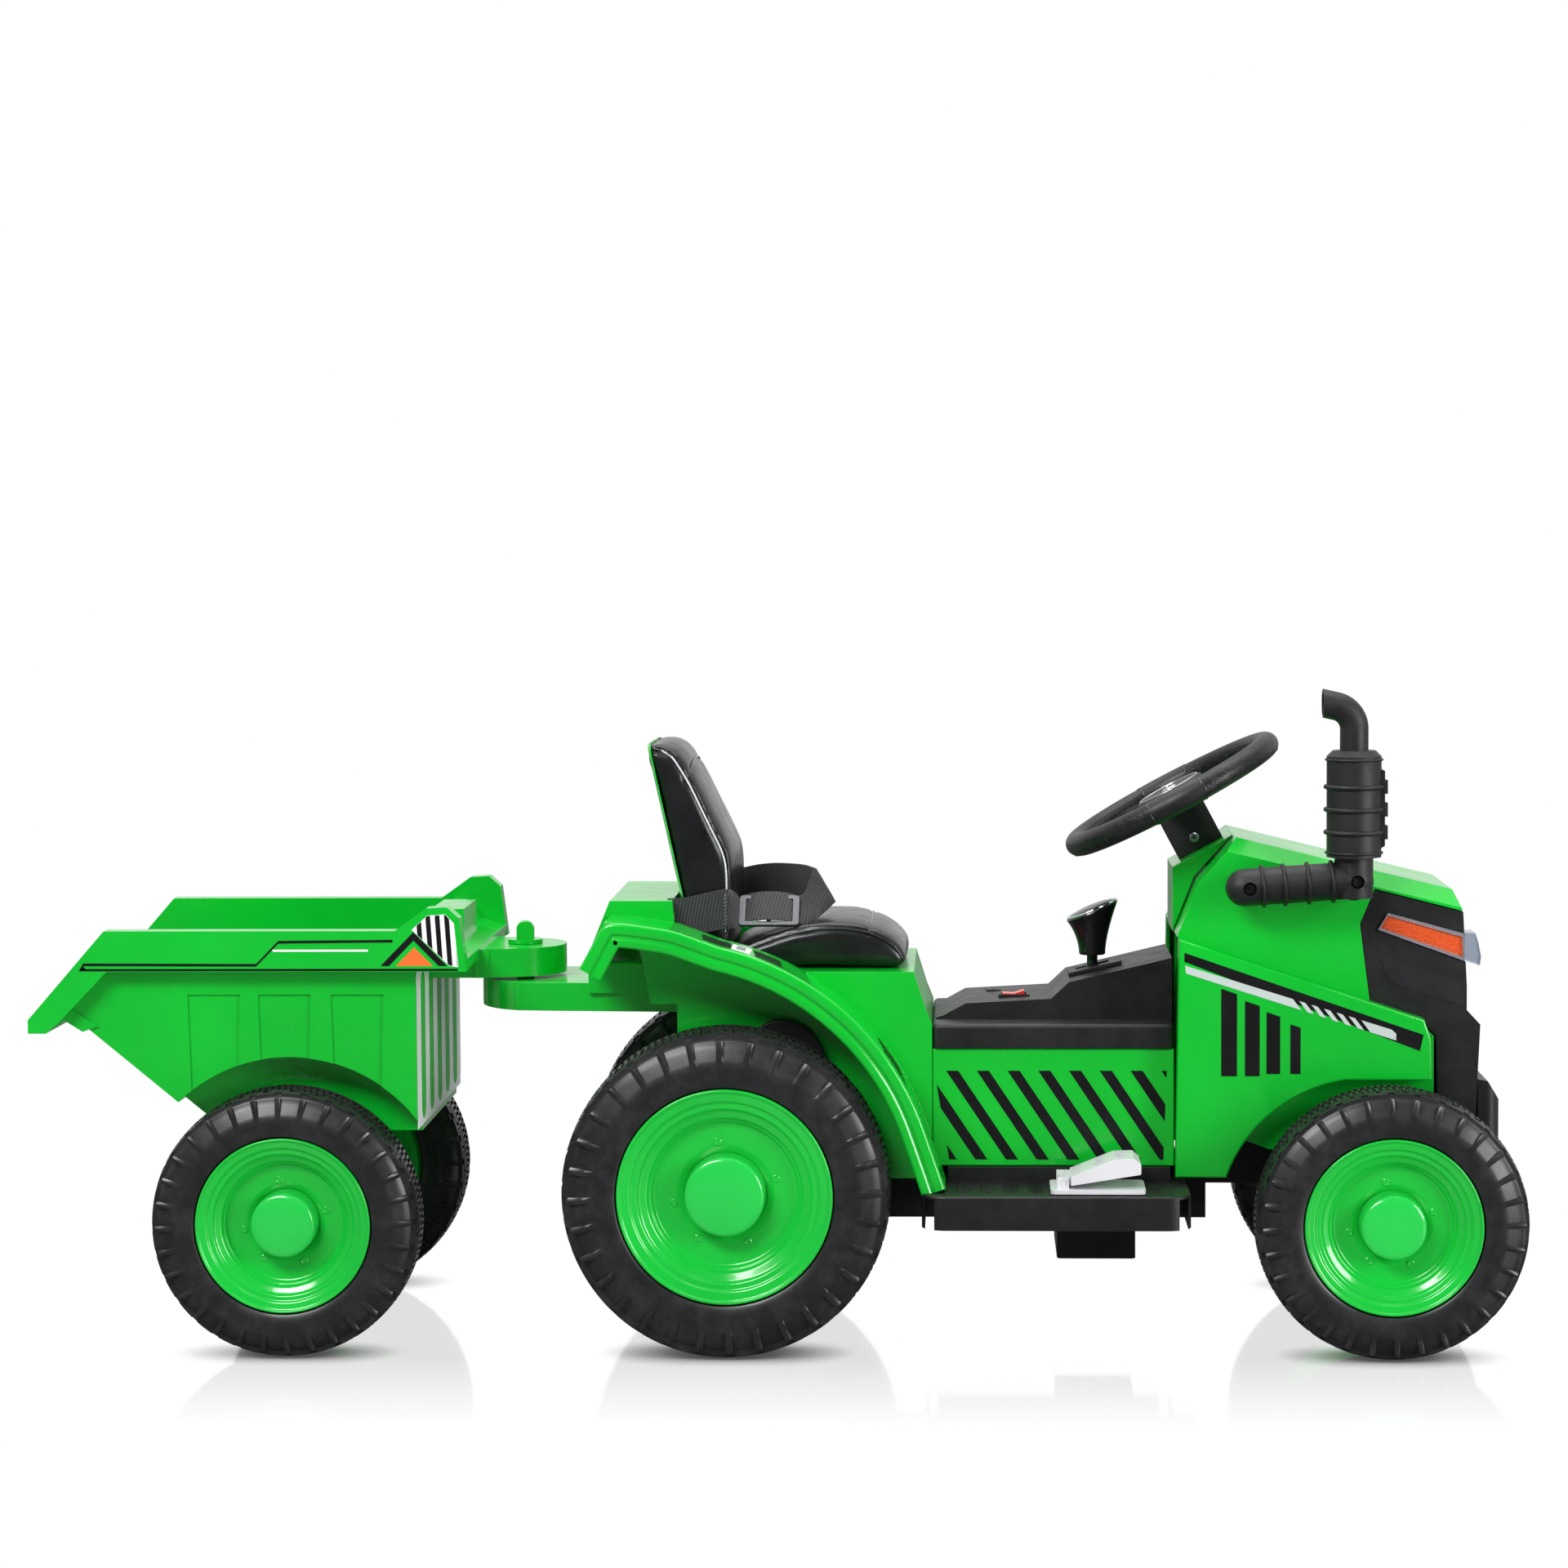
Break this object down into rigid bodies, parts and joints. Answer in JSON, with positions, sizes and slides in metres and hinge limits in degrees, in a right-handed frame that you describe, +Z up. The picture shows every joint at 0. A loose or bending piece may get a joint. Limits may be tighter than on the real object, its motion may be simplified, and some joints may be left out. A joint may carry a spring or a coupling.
{
  "type": "toy tractor",
  "caption": "Battery ride-on toy tractor with steering front wheels, padded seat, lap belt and exhaust stack, pulling an open two-wheel trailer on a drop-in hitch pin.",
  "frame": {"origin": "on the floor under the middle of the whole outfit, tractor and trailer together", "axes": "+X forward, from the trailer to the front bumper; +Y to the driver's left; +Z up"},
  "size_m": [1.32, 0.4, 0.5844],
  "materials": {
    "green_plastic": "gloss injection-moulded polypropylene",
    "wheel_plastic": "gloss moulded wheel plastic",
    "cap_plastic": "gloss moulded hub cap",
    "black_plastic": "satin black textured plastic",
    "bumper_plastic": "satin dark grey plastic",
    "grip": "leather-grain moulded grip",
    "knob": "gloss black lever knob",
    "chrome": "bright plated",
    "red_plastic": "gloss red switch cap",
    "white_plastic": "semi-gloss white plastic",
    "battery_case": "battery case",
    "steel": "zinc-plated steel",
    "seat_leather": "gloss black artificial leather",
    "webbing": "woven polyester webbing",
    "lamp_lens": "orange reflector lens",
    "tyre": "moulded tread, satin black"
  },
  "bodies": {
    "tractor": {"chassis_pan": "black_plastic", "rear_axle": "steel", "gear_motor": "black_plastic", "rear_body": "green_plastic", "hitch_plate": "green_plastic", "mid_body": "green_plastic", "centre_console": "black_plastic", "shifter_gate": "black_plastic", "footboard_left": "black_plastic", "footboard_right": "black_plastic", "pedal_base": "white_plastic", "battery_box": "black_plastic", "battery": "battery_case", "hood_shell": "green_plastic", "hood_panels": "green_plastic", "dash_binnacle": "green_plastic", "front_grille": "black_plastic", "headlight_lenses": "lamp_lens", "front_bumper": "bumper_plastic", "exhaust_arm": "black_plastic", "exhaust_can": "black_plastic", "body_screws": "steel", "seat_backrest": "seat_leather", "seat_cushion": "seat_leather", "lap_belt": "webbing", "belt_buckle": "chrome", "front_axle_beam": "steel"},
    "steering": {"steering_rim": "grip", "steering_hub": "black_plastic", "steering_rod": "steel"},
    "horn_left": {"horn_button_left": "chrome"},
    "horn_right": {"horn_button_right": "chrome"},
    "lever": {"gear_lever": "knob"},
    "rocker": {"rocker_switch": "red_plastic"},
    "accelerator": {"pedal": "white_plastic"},
    "drop_pin": {"hitch_pin": "green_plastic"},
    "steer_left": {"knuckle_left": "steel"},
    "steer_right": {"knuckle_right": "steel"},
    "track_rod": {"tie_rod": "steel"},
    "trailer": {"trailer_tub": "green_plastic", "trailer_frame": "black_plastic", "trailer_axle": "steel"},
    "wheel_rear_left": {"tyre_rear_left": "tyre", "rim_rear_left": "wheel_plastic", "hub_cap_rear_left": "cap_plastic"},
    "wheel_rear_right": {"tyre_rear_right": "tyre", "rim_rear_right": "wheel_plastic", "hub_cap_rear_right": "cap_plastic"},
    "wheel_front_left": {"tyre_front_left": "tyre", "rim_front_left": "wheel_plastic", "hub_cap_front_left": "cap_plastic"},
    "wheel_front_right": {"tyre_front_right": "tyre", "rim_front_right": "wheel_plastic", "hub_cap_front_right": "cap_plastic"},
    "wheel_trailer_left": {"tyre_trailer_left": "tyre", "rim_trailer_left": "wheel_plastic", "hub_cap_trailer_left": "cap_plastic"},
    "wheel_trailer_right": {"tyre_trailer_right": "tyre", "rim_trailer_right": "wheel_plastic", "hub_cap_trailer_right": "cap_plastic"}
  },
  "joints": [
    {"name": "rear_left_spin", "type": "hinge", "parent": "tractor", "child": "wheel_rear_left", "pos_m": [-0.041, 0.1575, 0.145], "axis": [0, 1, 0], "continuous": true},
    {"name": "rear_right_spin", "type": "hinge", "parent": "tractor", "child": "wheel_rear_right", "pos_m": [-0.041, -0.1575, 0.145], "axis": [0, 1, 0], "continuous": true},
    {"name": "left_kingpin", "type": "hinge", "parent": "tractor", "child": "steer_left", "pos_m": [0.541, 0.112, 0.119], "axis": [0, 0, 1], "range_deg": [-15.5, 15.5]},
    {"name": "right_kingpin", "type": "hinge", "parent": "tractor", "child": "steer_right", "pos_m": [0.541, -0.112, 0.119], "axis": [0, 0, 1], "range_deg": [-15.5, 15.5]},
    {"name": "front_left_spin", "type": "hinge", "parent": "steer_left", "child": "wheel_front_left", "pos_m": [0.541, 0.1635, 0.119], "axis": [0, 1, 0], "continuous": true},
    {"name": "front_right_spin", "type": "hinge", "parent": "steer_right", "child": "wheel_front_right", "pos_m": [0.541, -0.1635, 0.119], "axis": [0, 1, 0], "continuous": true},
    {"name": "track_rod_pivot", "type": "hinge", "parent": "steer_left", "child": "track_rod", "pos_m": [0.474, 0.112, 0.115], "axis": [0, 0, 1], "range_deg": [-15.5, 15.5]},
    {"name": "steering_turn", "type": "hinge", "parent": "tractor", "child": "steering", "pos_m": [0.3585, 0, 0.484], "axis": [-0.4695, 0, 0.8829], "range_deg": [-30, 30]},
    {"name": "horn_left_press", "type": "slide", "parent": "steering", "child": "horn_left", "axis": [-0.4695, 0, 0.8829], "range_m": [-0.002, 0], "stiffness_N_per_m": 400, "springref_m": 0.001},
    {"name": "horn_right_press", "type": "slide", "parent": "steering", "child": "horn_right", "axis": [-0.4695, 0, 0.8829], "range_m": [-0.002, 0], "stiffness_N_per_m": 400, "springref_m": 0.001},
    {"name": "lever_shift", "type": "hinge", "parent": "tractor", "child": "lever", "pos_m": [0.286, 0, 0.296], "axis": [0, 1, 0], "range_deg": [-10, 10]},
    {"name": "rocker_press", "type": "hinge", "parent": "tractor", "child": "rocker", "pos_m": [0.214, -0.022, 0.299], "axis": [0, 1, 0], "range_deg": [0, 12], "stiffness_Nm_per_rad": 0.05, "springref_deg": -5.73},
    {"name": "pedal_press", "type": "hinge", "parent": "tractor", "child": "accelerator", "pos_m": [0.255, -0.15, 0.154], "axis": [0, 1, 0], "range_deg": [0, 8], "stiffness_Nm_per_rad": 2, "springref_deg": -5.73},
    {"name": "pin_lift", "type": "slide", "parent": "tractor", "child": "drop_pin", "axis": [0, 0, 1], "range_m": [0, 0.065]},
    {"name": "trailer_yaw", "type": "hinge", "parent": "tractor", "child": "trailer", "pos_m": [-0.235, 0, 0.32], "axis": [0, 0, 1], "range_deg": [-28, 28]},
    {"name": "trailer_left_spin", "type": "hinge", "parent": "trailer", "child": "wheel_trailer_left", "pos_m": [-0.43, 0.1635, 0.119], "axis": [0, 1, 0], "continuous": true},
    {"name": "trailer_right_spin", "type": "hinge", "parent": "trailer", "child": "wheel_trailer_right", "pos_m": [-0.43, -0.1635, 0.119], "axis": [0, 1, 0], "continuous": true}
  ],
  "couplings": [
    {"joint": "left_kingpin", "follows": "steering_turn", "ratio": 0.5},
    {"joint": "right_kingpin", "follows": "steering_turn", "ratio": 0.5},
    {"joint": "track_rod_pivot", "follows": "steering_turn", "ratio": -0.5}
  ]
}
